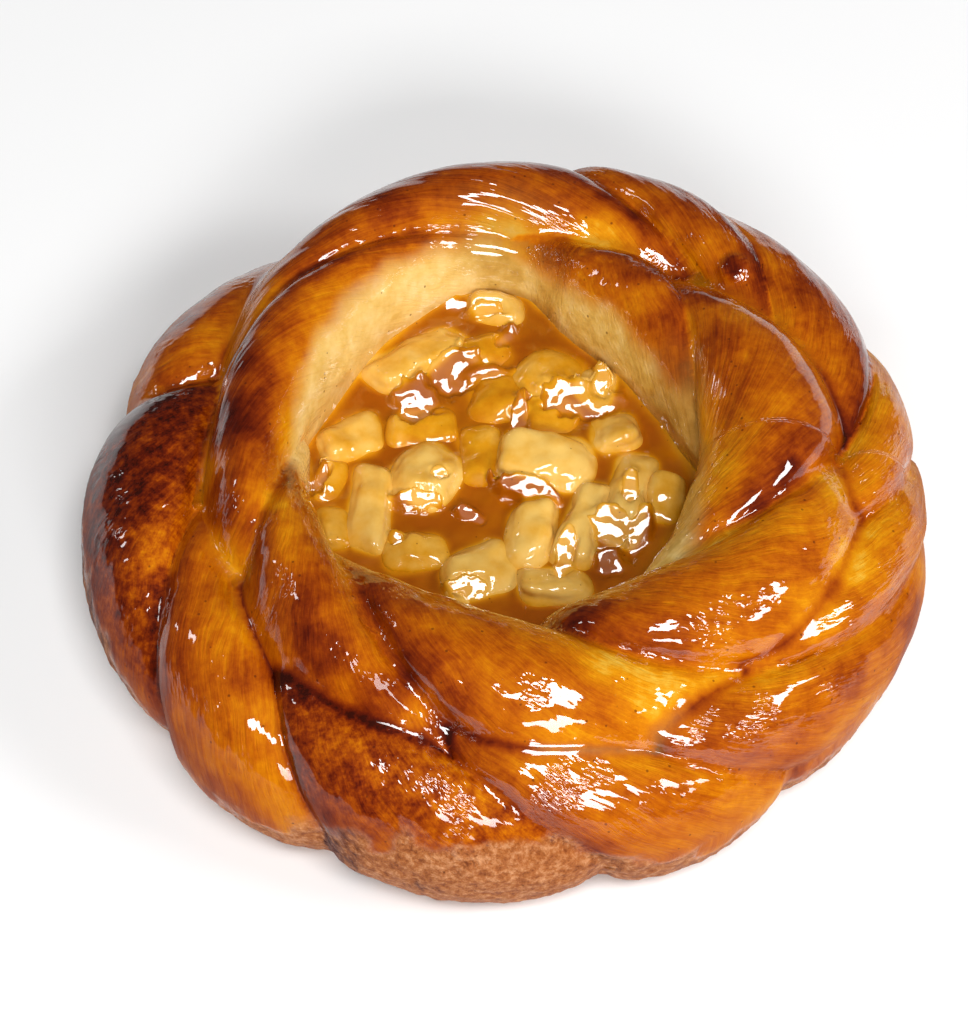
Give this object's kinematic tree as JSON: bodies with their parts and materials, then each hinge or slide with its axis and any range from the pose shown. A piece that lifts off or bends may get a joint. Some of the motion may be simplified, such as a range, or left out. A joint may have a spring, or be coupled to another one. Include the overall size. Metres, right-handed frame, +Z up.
{
  "type": "apple danish pastry",
  "caption": "Twisted rope of sweet dough coiled round a well of diced apple in amber syrup, glazed, with a flat underside.",
  "frame": {"origin": "middle of the flat underside, below the middle of the box", "axes": "+Z up out of the flat underside, -Y towards the viewer, +X to the viewer's right"},
  "size_m": [0.1182, 0.1177, 0.0358],
  "materials": {
    "crust": "baked egg-washed dough under a clear sugar glaze",
    "syrup": "wet amber syrup, glossy",
    "fruit": "cooked diced fruit, wet and glossy"
  },
  "bodies": {
    "root": {"dough": "crust", "syrup": "syrup", "apple_01": "fruit", "apple_02": "fruit", "apple_03": "fruit", "apple_04": "fruit", "apple_05": "fruit", "apple_06": "fruit", "apple_07": "fruit", "apple_08": "fruit", "apple_09": "fruit", "apple_10": "fruit", "apple_11": "fruit", "apple_12": "fruit", "apple_13": "fruit", "apple_14": "fruit", "apple_15": "fruit", "apple_16": "fruit", "apple_17": "fruit", "apple_18": "fruit", "apple_19": "fruit", "apple_20": "fruit", "apple_21": "fruit", "apple_22": "fruit", "apple_23": "fruit"}
  },
  "joints": []
}
